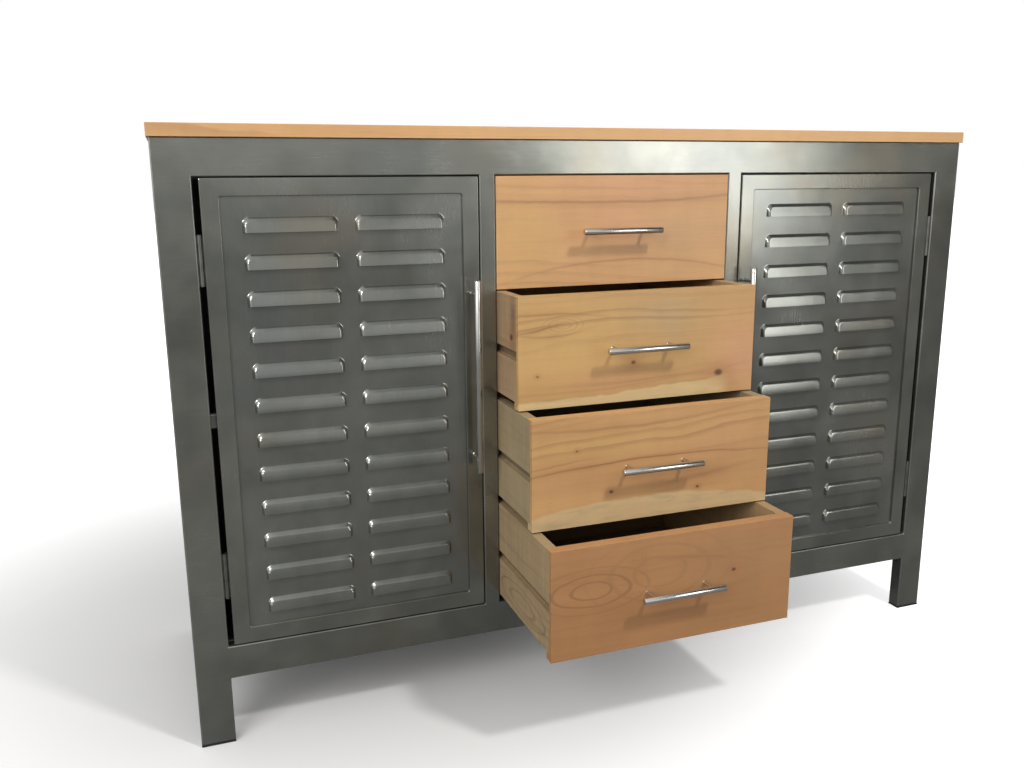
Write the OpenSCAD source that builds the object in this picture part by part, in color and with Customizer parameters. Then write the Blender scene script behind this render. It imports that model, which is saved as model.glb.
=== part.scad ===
// Sideboard: welded steel frame, timber top, two louvred doors and a stack of four timber drawers.
// X runs left to right, -Y is the front, +Z is up. Z = 0 is the floor under the foot caps.

/* [Carcass] */
// Width of the steel frame over both legs
frame_w = 1370; // [1150:10:1650]
// Height of the steel frame above the floor
frame_h = 900; // [780:5:1080]
// Depth of the steel frame
frame_d = 420; // [350:5:520]
// Face width of each leg
leg_w = 50; // [40:1:60]
// Depth of the frame tube behind its face
tube_d = 25; // [20:1:32]
// Height of the top and bottom rails
rail_h = 52; // [40:1:65]
// Face width of the two mullions between the bays
mullion_w = 25; // [20:1:32]
// Wall of every steel tube
tube_wall = 1.5; // [1.2:0.1:2]
// Rounding of the tube corners
tube_round = 2; // [1:0.5:2.5]
// Clear height under the bottom rail
leg_clear = 106; // [60:2:160]
// Thickness of the plastic cap under each leg
cap_t = 3; // [2:0.5:5]
// How far each cap's plug goes up inside its leg
cap_plug_h = 14; // [8:1:25]

/* [Sheet steel] */
// Thickness of the side, back, floor, shelf and partition sheets
sheet_t = 1.2; // [0.8:0.1:2]
// How far the side sheets sit in from the outer face of the frame
side_inset = 10; // [4:1:15]
// Height of the shelf's top surface above the bottom rail
shelf_rise = 356; // [250:2:420]
// Side of the square tube that carries each shelf
shelf_tube = 22; // [16:1:28]

/* [Top board] */
// Thickness of the timber top
top_t = 18; // [14:1:30]
// Overhang of the top beyond the frame on the sides and the back
top_over = 3; // [0:1:20]
// Overhang of the top beyond the front of the frame
top_over_front = 4; // [0:1:20]
// Rounding of the top board's corners
top_round = 2; // [1:0.5:5]
// Wood screws along each long edge of the top
top_screw_count = 3; // [2:1:6]
// Shank diameter of a top board screw
top_screw_d = 4; // [3:0.5:5]

/* [Doors] */
// Gap on the hinge side of each door
hinge_gap = 8.5; // [7.5:0.5:12]
// Gap around the other edges of each door
door_gap = 1.5; // [1:0.25:3]
// Face width of the door's border tube
border_w = 25; // [18:1:35]
// Depth of the door's border tube
door_d = 20; // [16:1:24]
// Inner corner radius of the border
border_round = 4; // [2:1:10]
// How far the louvred sheet sits behind the border's face
panel_recess = 4; // [2:0.5:8]

/* [Louvres] */
// Plain sheet between the louvres and the door's border on each side
louvre_side = 28.8; // [10:0.2:50]
// Height of one louvre
louvre_h = 21; // [16:1:26]
// How far a louvre stands out of its sheet
louvre_out = 6.5; // [4:0.5:8]
// Gap between the two columns of louvres
louvre_column_gap = 25; // [12:1:30]
// Distance from one row of louvres to the next
louvre_pitch = 51.5; // [36:0.5:60]
// Height of the lowest louvre's lip above the bottom of the sheet's visible part
louvre_first = 20.5; // [10:0.5:40]
// How much higher the louvres of the right door sit
right_louvre_rise = 5; // [0:0.5:8]
// Least plain sheet above the top row
louvre_top_margin = 24; // [15:1:60]

/* [Hinges] */
// Length of a hinge
hinge_l = 68; // [50:1:90]
// Distance of each hinge's middle from the middle of the door's height
hinge_offset = 232; // [150:2:270]
// Gap between the hinge barrel and the edges beside it
barrel_gap = 1; // [0.8:0.1:1.4]
// Diameter of the hinge pin
hinge_pin_d = 3.5; // [2.5:0.1:4]
// Thickness of a hinge leaf
leaf_t = 1.5; // [1:0.1:1.6]
// How far the hinge axis lies behind the front face
hinge_axis_in = 2.5; // [2:0.1:3]

/* [Drawers] */
// Gap on each side of a drawer
drawer_gap = 1; // [0.6:0.1:2]
// Gap between two drawer fronts, and above and below the stack
front_gap = 1.5; // [1:0.25:3]
// Thickness of a drawer front
front_t = 18; // [14:1:22]
// How thick the front is at its ends, in front of the sides let into it
front_lap = 8; // [5:0.5:12]
// Room between the back of a shut drawer and the back sheet
drawer_back_gap = 8.8; // [6:0.2:60]
// Thickness of the drawer's sides and back
side_t = 16; // [13:1:20]
// How far a drawer's sides stop short of its front's lower edge
side_lift = 11; // [6:1:25]
// How far a drawer's sides stop short of its front's upper edge
side_drop = 1; // [0:1:20]
// Thickness of the drawer's bottom panel
bottom_t = 6; // [4:0.5:9]
// How far the bottom panel enters the sides and the front
bottom_tongue = 5; // [3:0.5:8]
// How far each drawer stands open: top drawer first
drawer_open = [0, 92, 146, 220]; // [0:1:240]

/* [Runners] */
// Height of a runner
runner_h = 13; // [8:1:18]
// How far a runner enters its groove
runner_tongue = 7; // [5:0.5:9]
// Height of the groove's lower edge above the bottom of the drawer's side
groove_rise = 63.5; // [40:0.5:90]

/* [Handles] */
// Diameter of a handle bar
bar_d = 10; // [8:1:14]
// Diameter of a handle post
post_d = 6; // [5:0.5:8]
// Distance of the bar's axis from the face that it is fixed to
bar_reach = 27; // [22:1:35]
// Length of a drawer handle
drawer_bar_l = 136; // [110:1:200]
// Distance between the posts of a drawer handle
drawer_post_gap = 96; // [64:32:96]
// Length of a door handle
door_bar_l = 300; // [270:2:400]
// Distance between the posts of a door handle
door_post_gap = 256; // [160:32:256]
// Height of the door handle's middle above the middle of the door
door_bar_rise = 41; // [0:1:80]
// Shank diameter of a handle screw
handle_screw_d = 4; // [3:0.5:4]

/* [Hidden] */
drawer_count = len(drawer_open);

// Clearances
running_gap = 0.05;    // radial, pin in a hinge knuckle
knuckle_gap = 0.4;     // between neighbouring knuckles
runner_gap = 0.5;      // above and below a runner in its groove
tongue_gap = 1;        // between a runner's edge and the floor of its groove
seat_gap = 0.1;        // between pieces that are glued, slotted or welded in place
catch_gap = 0.5;       // between a catch and the closed door
screw_gap = 0.25;      // radial, screw in a plain hole
thread_gap = 0.05;     // radial, screw in its own thread

// Frame layout, with X = 0 in the middle of the width
half_w = frame_w / 2;
bay_w = (frame_w - 2 * leg_w - 2 * mullion_w) / 3;
mullion_in = bay_w / 2;
mullion_out = mullion_in + mullion_w;
bay_out = half_w - leg_w;
open_bottom = leg_clear + rail_h;
open_top = frame_h - rail_h;

// The origin is in the middle of the whole part's depth, with the drawers as they stand
handle_out = bar_reach + bar_d / 2;
front_y = (max(drawer_open) + handle_out - frame_d - top_over) / 2;
inner_y = front_y + tube_d;
rear_y = front_y + frame_d - tube_d;
back_sheet_y = rear_y - sheet_t;

// Shelves
shelf_top = open_bottom + shelf_rise;
shelf_under = shelf_top - sheet_t;
shelf_end = half_w - side_inset - sheet_t;

// Doors, drawn for the left one
door_x0 = -bay_out + hinge_gap;
door_x1 = -mullion_out - door_gap;
door_z0 = open_bottom + door_gap;
door_z1 = open_top - door_gap;
door_mid = (door_z0 + door_z1) / 2;
panel_w = door_x1 - door_x0 - 2 * border_w;
panel_h = door_z1 - door_z0 - 2 * border_w;
panel_x = (door_x0 + door_x1) / 2;
panel_front = front_y + panel_recess;
louvre_w = (panel_w - louvre_column_gap) / 2 - louvre_side;
louvre_rows = floor((panel_h - louvre_first - right_louvre_rise - louvre_h - louvre_top_margin) / louvre_pitch) + 1;
door_bar_x = door_x1 - border_w / 2;
door_bar_z = door_mid + door_bar_rise;

// Hinges
hinge_x = -bay_out + hinge_gap / 2;
hinge_y = front_y + hinge_axis_in;
barrel_d = hinge_gap - 2 * barrel_gap;
knuckles = 5;
knuckle_pitch = hinge_l / knuckles;
leaf_depth = door_d - hinge_axis_in;
pin_head_d = barrel_d;
pin_head_h = 1.2;

// Drawers
drawer_half = bay_w / 2 - drawer_gap;
front_pitch = (open_top - open_bottom - front_gap) / drawer_count;
front_h = front_pitch - front_gap;
box_half = drawer_half - side_t;
drawer_l = frame_d - tube_d - sheet_t - drawer_back_gap;
bottom_lift = 8;
groove_h = runner_h + 2 * runner_gap;
groove_depth = runner_tongue + tongue_gap;
runner_y0 = front_y + front_t + runner_gap;

// Small hardware
screw_head_d = 8;
screw_head_h = 2.4;
thread_l = 9;
catch_size = [14, 26, 46];
catch_drop = 60;
bracket_w = 30;
bracket_leg = 24;
bracket_t = 2;
top_screw_edge = 14;
top_screw_in = 12;
top_screw_x = half_w - 170;

steel = [0.33, 0.34, 0.33];
sheet_steel = [0.30, 0.31, 0.30];
bright_steel = [0.76, 0.76, 0.74];
timber = [0.78, 0.55, 0.34];
pale_timber = [0.80, 0.64, 0.46];
black_plastic = [0.06, 0.06, 0.06];

// ---- helpers ----

function front_top(n) = open_top - front_gap - (n - 1) * front_pitch;
function face_y(n) = front_y - drawer_open[n - 1];

module span(a, b) {
    translate(a) cube(b - a);
}

module rounded(w, h, r) {
    translate([r, 0]) square([w - 2 * r, h]);
    translate([0, r]) square([w, h - 2 * r]);
    for (x = [r, w - r], y = [r, h - r]) translate([x, y]) circle(r, $fn = 32);
}

// Hollow tube along +Z with its section's corner at the origin
module tube(w, d, l) {
    difference() {
        linear_extrude(l) rounded(w, d, tube_round);
        translate([tube_wall, tube_wall, -1]) cube([w - 2 * tube_wall, d - 2 * tube_wall, l + 2]);
    }
}

// Tube from x0 to x1 that is d deep and h high
module tube_x(x0, x1, y, z, d, h) {
    translate([x0, y, z]) rotate([90, 0, 90]) tube(d, h, x1 - x0);
}

// Tube from y0 to y1 that is w wide and h high
module tube_y(x, y0, y1, z, w, h) {
    translate([x, y1, z]) rotate([90, 0, 0]) tube(w, h, y1 - y0);
}

module both_sides() {
    children();
    mirror([1, 0, 0]) children();
}

module rod_y(x, y0, y1, z, d) {
    translate([x, y1, z]) rotate([90, 0, 0]) cylinder(h = y1 - y0, d = d, $fn = 48);
}

// ---- carcass ----

module leg(x, y) {
    color(steel) translate([x, y, cap_t]) tube(leg_w, tube_d, frame_h - cap_t);
}

module long_rail(y, z) {
    color(steel) tube_x(-bay_out, bay_out, y, z, tube_d, rail_h);
}

module mullion(x, y) {
    color(steel) translate([x, y, open_bottom]) tube(mullion_w, tube_d, open_top - open_bottom);
}

module side_rails() {
    color(steel) both_sides()
        for (z = [leg_clear, open_top]) tube_y(-half_w, inner_y, rear_y, z, tube_d, rail_h);
}

module side_panel() {
    color(sheet_steel)
        span([-half_w + side_inset, inner_y, open_bottom], [-shelf_end, rear_y, open_top]);
}

module back_panel() {
    color(sheet_steel) span([-shelf_end, back_sheet_y, open_bottom + sheet_t], [shelf_end, rear_y, open_top]);
}

module floor_panel() {
    y0 = front_y + door_d + catch_gap;
    color(sheet_steel) difference() {
        span([-shelf_end, y0, open_bottom], [shelf_end, rear_y, open_bottom + sheet_t]);
        both_sides() {
            span([-half_w, y0 - 1, open_bottom - 1], [-bay_out + seat_gap, inner_y + seat_gap, open_bottom + 2]);
            span([mullion_in - seat_gap, y0 - 1, open_bottom - 1],
                 [mullion_out + seat_gap, inner_y + seat_gap, open_bottom + 2]);
        }
    }
}

module partition() {
    color(sheet_steel) span([-mullion_out, inner_y, open_bottom + sheet_t],
                            [-mullion_out + sheet_t, back_sheet_y, open_top]);
}

module shelf() {
    color(sheet_steel) span([-shelf_end, inner_y, shelf_under], [-mullion_out, back_sheet_y, shelf_top]);
}

module shelf_rails() {
    color(steel) both_sides()
        for (y = [inner_y, back_sheet_y - shelf_tube])
            tube_x(-shelf_end, -mullion_out, y, shelf_under - shelf_tube, shelf_tube, shelf_tube);
}

// ---- top ----

module at_top_screws() {
    for (i = [0 : top_screw_count - 1], s = [0, 1]) {
        x = -top_screw_x + i * 2 * top_screw_x / (top_screw_count - 1);
        translate([x, s == 0 ? inner_y : rear_y, frame_h]) rotate(180 * s) children();
    }
}

module top_board() {
    color(timber) difference() {
        translate([-half_w - top_over, front_y - top_over_front, frame_h])
            linear_extrude(top_t)
                rounded(frame_w + 2 * top_over, frame_d + top_over_front + top_over, top_round);
        at_top_screws() translate([0, top_screw_edge, -1])
            cylinder(h = top_screw_in + 2, d = top_screw_d + 2 * thread_gap, $fn = 24);
    }
}

module top_brackets() {
    color(steel) at_top_screws() difference() {
        union() {
            span([-bracket_w / 2, 0, -bracket_leg], [bracket_w / 2, bracket_t, 0]);
            span([-bracket_w / 2, 0, -bracket_t], [bracket_w / 2, bracket_leg, 0]);
        }
        translate([0, top_screw_edge, -bracket_leg])
            cylinder(h = bracket_leg + 1, d = top_screw_d + 2 * screw_gap, $fn = 24);
    }
}

module top_board_screws() {
    color(bright_steel) at_top_screws() translate([0, top_screw_edge, -bracket_t]) {
        cylinder(h = bracket_t + top_screw_in, d = top_screw_d, $fn = 24);
        translate([0, 0, -screw_head_h]) cylinder(h = screw_head_h, d = screw_head_d, $fn = 24);
    }
}

module foot_caps() {
    plug = tube_wall + seat_gap;
    color(black_plastic) both_sides() for (y = [front_y, rear_y]) translate([-half_w, y, 0]) {
        linear_extrude(cap_t) rounded(leg_w, tube_d, tube_round);
        translate([plug, plug, cap_t]) cube([leg_w - 2 * plug, tube_d - 2 * plug, cap_plug_h]);
    }
}

// ---- drawer runners ----

module drawer_runners() {
    color(pale_timber) both_sides() for (n = [1 : drawer_count]) {
        z = front_top(n) - front_h + side_lift + groove_rise + runner_gap;
        span([-mullion_out + sheet_t, inner_y, z], [-mullion_in, back_sheet_y, z + runner_h]);
        span([-mullion_in - 1, inner_y, z], [-drawer_half + runner_tongue, back_sheet_y, z + runner_h]);
        span([-mullion_in + seat_gap, runner_y0, z], [-drawer_half + runner_tongue, inner_y + 1, z + runner_h]);
    }
}

// ---- hinges ----

module at_hinges() {
    for (s = [-1, 1]) translate([hinge_x, hinge_y, door_mid + s * hinge_offset]) children();
}

// One leaf with the knuckles whose numbers are in own; side is -1 for the frame and 1 for the door
module hinge_leaf(own, side) {
    face = hinge_gap / 2;
    bore = hinge_pin_d + 2 * running_gap;
    color(bright_steel) translate([0, 0, -hinge_l / 2]) difference() {
        union() {
            edge_x = side * face;
            span([min(edge_x, edge_x - side * leaf_t), 0, 0],
                 [max(edge_x, edge_x - side * leaf_t), leaf_depth, hinge_l]);
            for (k = own) translate([0, 0, k * knuckle_pitch + knuckle_gap / 2]) {
                cylinder(h = knuckle_pitch - knuckle_gap, d = barrel_d, $fn = 48);
                span([min(0, edge_x), 0, 0], [max(0, edge_x), leaf_t, knuckle_pitch - knuckle_gap]);
            }
        }
        translate([0, 0, -1]) cylinder(h = hinge_l + 2, d = bore, $fn = 32);
        for (k = [0 : knuckles - 1]) if (len(search(k, own)) == 0)
            translate([0, 0, k * knuckle_pitch - knuckle_gap / 2])
                cylinder(h = knuckle_pitch + knuckle_gap, d = barrel_d + 2 * knuckle_gap, $fn = 48);
    }
}

module hinge_frame_leaves() {
    both_sides() at_hinges() hinge_leaf([0, 2, 4], -1);
}

module hinge_pins() {
    color(bright_steel) both_sides() at_hinges() {
        cylinder(h = hinge_l + 2 * knuckle_gap, d = hinge_pin_d, center = true, $fn = 32);
        for (s = [0, 1]) mirror([0, 0, s]) translate([0, 0, hinge_l / 2 + knuckle_gap / 2])
            cylinder(h = pin_head_h, d = pin_head_d, $fn = 32);
    }
}

module door_catches() {
    color(black_plastic) both_sides()
        translate([-mullion_out - catch_size[0], front_y + door_d + catch_gap, door_z1 - catch_drop - catch_size[2]])
            cube(catch_size);
}

// ---- doors ----

module at_door_posts() {
    for (s = [-1, 1]) translate([door_bar_x, 0, door_bar_z + s * door_post_gap / 2]) children();
}

module border_section(inset) {
    translate([door_x0 + inset, door_z0 + inset]) difference() {
        rounded(door_x1 - door_x0 - 2 * inset, door_z1 - door_z0 - 2 * inset, tube_round);
        band = border_w - 2 * inset;
        translate([band, band])
            rounded(door_x1 - door_x0 - 2 * border_w + 2 * inset, door_z1 - door_z0 - 2 * border_w + 2 * inset,
                    border_round);
    }
}

// The border is a hollow tube mitred round the door; the handle's screws pass through it
module door_frame() {
    color(steel) difference() {
        translate([0, front_y + door_d, 0]) rotate([90, 0, 0]) linear_extrude(door_d) border_section(0);
        translate([0, front_y + door_d - tube_wall, 0]) rotate([90, 0, 0])
            linear_extrude(door_d - 2 * tube_wall) border_section(tube_wall);
        at_door_posts()
            rod_y(0, front_y - 1, front_y + door_d + 1, 0, handle_screw_d + 2 * screw_gap);
    }
}

// Solid of one pressed louvre on the sheet's face, its lip at Z = 0; grow makes the hollow behind it
module louvre_form(grow) {
    radius = (pow(louvre_h, 2) + pow(louvre_out, 2)) / (2 * louvre_out);
    half = louvre_w / 2 - grow;
    intersection() {
        span([-half, -louvre_out, grow == 0 ? 0 : -1], [half, sheet_t + 1, louvre_h]);
        translate([-half, radius - louvre_out, 0]) rotate([0, 90, 0])
            cylinder(h = 2 * half, r = radius - grow, $fn = 96);
    }
}

module at_louvres(rise) {
    column = (louvre_w + louvre_column_gap) / 2;
    z0 = door_z0 + border_w + louvre_first + rise;
    for (i = [0 : louvre_rows - 1], s = [-1, 1])
        translate([panel_x + s * column, panel_front, z0 + i * louvre_pitch]) children();
}

module door_panel(rise = 0) {
    color(sheet_steel) difference() {
        union() {
            translate([panel_x - panel_w / 2 + seat_gap, panel_front + sheet_t, door_z0 + border_w + seat_gap])
                rotate([90, 0, 0]) linear_extrude(sheet_t)
                    rounded(panel_w - 2 * seat_gap, panel_h - 2 * seat_gap, border_round);
            at_louvres(rise) intersection() {
                louvre_form(0);
                span([-louvre_w, -louvre_out - 1, -1], [louvre_w, sheet_t / 2, louvre_h + 1]);
            }
        }
        at_louvres(rise) louvre_form(sheet_t);
    }
}

module handle(length, gap) {
    color(bright_steel) difference() {
        union() {
            translate([-length / 2, -bar_reach, 0]) rotate([0, 90, 0]) cylinder(h = length, d = bar_d, $fn = 48);
            for (s = [-1, 1]) rod_y(s * gap / 2, -bar_reach, 0, 0, post_d);
        }
        for (s = [-1, 1]) rod_y(s * gap / 2, -thread_l, 1, 0, handle_screw_d + 2 * thread_gap);
    }
}

module door_handle() {
    translate([door_bar_x, front_y, door_bar_z]) rotate([0, 90, 0]) handle(door_bar_l, door_post_gap);
}

// Screw whose head bears on a face at Y = 0 and whose shank runs to -Y
module handle_screw(grip) {
    color(bright_steel) {
        rod_y(0, -grip - thread_l + 1, 0, 0, handle_screw_d);
        rod_y(0, 0, screw_head_h, 0, screw_head_d);
    }
}

module door_screws() {
    at_door_posts() translate([0, front_y + door_d, 0]) handle_screw(door_d);
}

module door_leaves() {
    at_hinges() hinge_leaf([1, 3], 1);
}

// ---- drawers, drawn with the middle of the front's lower edge at the origin ----

module at_drawer(n) {
    translate([0, face_y(n), front_top(n) - front_h]) children();
}

module at_drawer_posts() {
    for (s = [-1, 1]) translate([s * drawer_post_gap / 2, 0, front_h / 2]) children();
}

module bottom_slot(fit) {
    z = side_lift + bottom_lift;
    reach = box_half + bottom_tongue + fit;
    span([-reach, front_t - bottom_tongue - fit, z - fit], [reach, drawer_l + fit, z + bottom_t + fit]);
}

module drawer_front() {
    color(timber) difference() {
        span([-drawer_half, 0, 0], [drawer_half, front_t, front_h]);
        both_sides() span([-drawer_half - 1, front_lap, side_lift], [-box_half, front_t + 1, front_h - side_drop]);
        bottom_slot(seat_gap);
        at_drawer_posts() rod_y(0, -1, front_t + 1, 0, handle_screw_d + 2 * screw_gap);
    }
}

// Two sides with a runner groove each, and the back between them
module drawer_box() {
    top = front_h - side_drop;
    groove_z = side_lift + groove_rise;
    color(pale_timber) {
        both_sides() difference() {
            span([-drawer_half, front_lap, side_lift], [-box_half, drawer_l, top]);
            span([-drawer_half - 1, front_lap - 1, groove_z],
                 [-drawer_half + groove_depth, drawer_l + 1, groove_z + groove_h]);
            bottom_slot(seat_gap);
        }
        span([-box_half + seat_gap, drawer_l - side_t, side_lift + bottom_lift + bottom_t + seat_gap],
             [box_half - seat_gap, drawer_l, top]);
    }
}

module drawer_bottom() {
    color(pale_timber) bottom_slot(0);
}

module drawer_handle() {
    translate([0, 0, front_h / 2]) handle(drawer_bar_l, drawer_post_gap);
}

module drawer_screws() {
    at_drawer_posts() translate([0, front_t, 0]) handle_screw(front_t);
}

// ---- what is drawn ----

leg(-half_w, front_y);  // front_left_leg
leg(bay_out, front_y);  // front_right_leg
leg(-half_w, rear_y);  // rear_left_leg
leg(bay_out, rear_y);  // rear_right_leg
long_rail(front_y, open_top);  // front_top_rail
long_rail(front_y, leg_clear);  // front_bottom_rail
long_rail(rear_y, open_top);  // rear_top_rail
long_rail(rear_y, leg_clear);  // rear_bottom_rail
mullion(-mullion_out, front_y);  // left_mullion
mullion(mullion_in, front_y);  // right_mullion
both_sides() mullion(-mullion_out, rear_y);  // rear_uprights
side_rails();
side_panel();  // left_side_panel
mirror([1, 0, 0]) side_panel();  // right_side_panel
back_panel();
floor_panel();
partition();  // left_partition
mirror([1, 0, 0]) partition();  // right_partition
shelf();  // left_shelf
mirror([1, 0, 0]) shelf();  // right_shelf
shelf_rails();
top_board();
top_brackets();
top_board_screws();
foot_caps();
drawer_runners();
hinge_frame_leaves();
hinge_pins();
door_catches();
door_frame();  // left_door_frame
door_panel();  // left_door_panel
door_handle();  // left_door_handle
door_screws();  // left_door_screws
door_leaves();  // left_door_leaves
mirror([1, 0, 0]) door_frame();  // right_door_frame
mirror([1, 0, 0]) door_panel(right_louvre_rise);  // right_door_panel
mirror([1, 0, 0]) door_handle();  // right_door_handle
mirror([1, 0, 0]) door_screws();  // right_door_screws
mirror([1, 0, 0]) door_leaves();  // right_door_leaves
for (n = [1 : drawer_count]) {
    at_drawer(n) drawer_front();
    at_drawer(n) drawer_box();
    at_drawer(n) drawer_bottom();
    at_drawer(n) drawer_handle();
    at_drawer(n) drawer_screws();
}
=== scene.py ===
import math
import bpy
import bmesh
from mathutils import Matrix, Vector


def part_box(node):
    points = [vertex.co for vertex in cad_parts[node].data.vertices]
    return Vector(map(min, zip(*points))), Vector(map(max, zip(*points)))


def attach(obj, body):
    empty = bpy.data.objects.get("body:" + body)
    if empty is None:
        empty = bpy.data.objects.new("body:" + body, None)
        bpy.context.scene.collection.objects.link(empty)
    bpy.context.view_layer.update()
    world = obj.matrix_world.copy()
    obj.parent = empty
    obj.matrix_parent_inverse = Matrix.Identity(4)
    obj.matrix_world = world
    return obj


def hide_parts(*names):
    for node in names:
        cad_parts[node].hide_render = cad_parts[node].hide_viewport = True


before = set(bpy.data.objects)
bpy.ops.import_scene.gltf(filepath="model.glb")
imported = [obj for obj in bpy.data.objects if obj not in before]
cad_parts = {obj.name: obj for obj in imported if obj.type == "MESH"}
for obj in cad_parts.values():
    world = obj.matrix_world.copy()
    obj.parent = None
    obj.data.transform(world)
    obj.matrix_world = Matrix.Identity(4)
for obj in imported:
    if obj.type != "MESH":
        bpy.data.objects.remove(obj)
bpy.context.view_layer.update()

scene = bpy.context.scene
scene.view_settings.view_transform = "Standard"
mm = 0.001


# Node trees are written as expressions: a wire is one output socket, and maths on it adds Math nodes
class Wire:
    def __init__(self, tree, socket=None):
        self.tree = tree
        self.socket = socket

    def add(self, kind, settings=None, values=None, out=0):
        made = self.tree.nodes.new(kind)
        for key, value in (settings or {}).items():
            setattr(made, key, value)
        for key, value in (values or {}).items():
            if isinstance(value, Wire):
                self.tree.links.new(value.socket, made.inputs[key])
            else:
                made.inputs[key].default_value = value
        return Wire(self.tree, made.outputs[out] if len(made.outputs) else None)

    def maths(self, operation, first, second=0.0):
        return self.add("ShaderNodeMath", {"operation": operation}, {0: first, 1: second})

    def __add__(self, other):
        return self.maths("ADD", self, other)

    def __sub__(self, other):
        return self.maths("SUBTRACT", self, other)

    def __rsub__(self, other):
        return self.maths("SUBTRACT", other, self)

    def __mul__(self, other):
        return self.maths("MULTIPLY", self, other)

    def __truediv__(self, other):
        return self.maths("DIVIDE", self, other)

    def squared(self):
        return self * self

    def most(self, other):
        return self.maths("MAXIMUM", self, other)

    __radd__ = __add__
    __rmul__ = __mul__


def ease(wire, low, high, start=0.0, end=1.0):
    # smooth step of a wire between two of its values
    return wire.add("ShaderNodeMapRange", {"interpolation_type": "SMOOTHSTEP"},
                    {0: wire, 1: low, 2: high, 3: start, 4: end})


def mixColour(factor, first, second):
    return factor.add("ShaderNodeMix", {"data_type": "RGBA", "clamp_result": True},
                      {0: factor, 6: first, 7: second}, out=2)


def shaded(colour, amount):
    # a colour made darker or lighter all over by one wire
    return colour.add("ShaderNodeVectorMath", {"operation": "SCALE"}, {0: colour, "Scale": amount})


def soft(far, sharp=1.0):
    # 1 at the middle of a spot, falling off with the squared distance
    return far.maths("EXPONENT", far * -sharp)


def stretch(place, scale, shift=(0, 0, 0)):
    return place.add("ShaderNodeMapping", None, {"Vector": place, "Location": shift, "Scale": scale})


def noise(place, scale=1.0, detail=2.0, rough=0.5, warp=0.0):
    return place.add("ShaderNodeTexNoise", None, {
        "Vector": place, "Scale": scale, "Detail": detail, "Roughness": rough, "Distortion": warp})


def grey(value):
    return (value, value, value, 1)


def startFinish(name):
    material = bpy.data.materials.new(name)
    material.use_nodes = True
    tree = material.node_tree
    shader = next(n for n in tree.nodes if n.type == "BSDF_PRINCIPLED")
    start = Wire(tree)
    place = start.add("ShaderNodeTexCoord", out=3)
    return material, shader, place


def plug(shader, values):
    # links wires and sets constants on a shader's own sockets
    for key, value in values.items():
        if isinstance(value, Wire):
            value.tree.links.new(value.socket, shader.inputs[key])
        else:
            shader.inputs[key].default_value = value


def bump(height, distance):
    return height.add("ShaderNodeBump", None, {"Height": height, "Distance": distance, "Strength": 1.0})


# Bare mild steel, wire-brushed and sprayed with clear lacquer
def steelFinish(name, look):
    material, shader, place = startFinish(name)
    shifted = stretch(place, (1, 1, 1), look["shift"])
    clouds = noise(shifted, 3.4, 4, 0.55, 0.6)
    patches = noise(shifted, 13, 3, 0.5, 0.3)
    brushed = noise(stretch(place, look["brush"]), 1, 3, 0.65)
    tone = ease(clouds * 0.62 + patches * 0.38, 0.36, 0.66)
    colour = mixColour(tone, look["dark"], look["light"])
    warm = ease(noise(stretch(place, (1, 1, 1), (4.1, 0.7, 2.2)), 5.5, 3, 0.5), 0.5, 0.72)
    colour = mixColour(warm * 0.55, colour, look["warm"])
    cool = ease(noise(stretch(place, (1, 1, 1), (1.3, 6.1, 0.4)), 4.2, 3, 0.5), 0.52, 0.75)
    colour = mixColour(cool * 0.5, colour, look["cool"])
    colour = shaded(colour, ease(brushed, 0.2, 0.8, 1 - look["lines"], 1 + look["lines"]))
    rough = look["rough"] + (patches - 0.5) * 0.06 + (brushed - 0.5) * look["lines"] + (clouds - 0.5) * 0.1
    peel = noise(place, 260, 1, 0.4) * 0.5 + noise(place, 80, 1, 0.5) * 0.9
    height = peel * look["peel"] + brushed * look["lines"] * 0.02 + noise(place, 9, 2, 0.5) * look["wave"]
    plug(shader, {
        "Base Color": colour, "Metallic": look["metal"], "Roughness": rough,
        "Coat Weight": ease(patches, 0.3, 0.7, look["coat"] * 0.7, look["coat"]),
        "Coat Roughness": look["coatRough"], "Normal": bump(height, 0.0002)})
    return material


steelLook = {
    "dark": (0.172, 0.178, 0.156, 1), "light": (0.270, 0.274, 0.242, 1),
    "warm": (0.262, 0.230, 0.172, 1), "cool": (0.190, 0.212, 0.210, 1),
    "brush": (30, 30, 560), "shift": (0, 0, 0), "rough": 0.25, "metal": 0.85,
    "peel": 0.03, "wave": 1.3, "coat": 0.6, "coatRough": 0.13, "lines": 0.05,
}
frameSteel = steelFinish("frameSteel", steelLook)
# lighter steel for the rounded frame edges: part rubbed wear, part painted edge highlight
edgeWearAndHighlightSteel = steelFinish("edgeWearAndHighlightSteel", {
    **steelLook, "dark": (0.19, 0.195, 0.18, 1), "light": (0.32, 0.325, 0.30, 1), "rough": 0.34})
doorSteel = steelFinish("doorSteel", {**steelLook, "shift": (3.3, 1.2, 5.0), "brush": (520, 34, 30)})
louvreSteel = steelFinish("louvreSteel", {
    **steelLook, "shift": (7.3, 2.2, 1.0), "brush": (520, 34, 26), "wave": 2.2,
    "dark": (0.172, 0.180, 0.162, 1), "light": (0.262, 0.270, 0.246, 1)})
sheetSteel = steelFinish("sheetSteel", {
    **steelLook, "shift": (1.9, 8.2, 4.0), "brush": (30, 30, 560), "rough": 0.42, "coat": 0.35,
    "dark": (0.130, 0.136, 0.130, 1), "light": (0.215, 0.222, 0.212, 1)})
weldSteel = steelFinish("weldSteel", {
    **steelLook, "dark": (0.16, 0.15, 0.13, 1), "light": (0.34, 0.32, 0.28, 1), "brush": (200, 200, 200),
    "rough": 0.34, "warm": (0.24, 0.17, 0.10, 1), "cool": (0.16, 0.20, 0.27, 1)})


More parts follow.
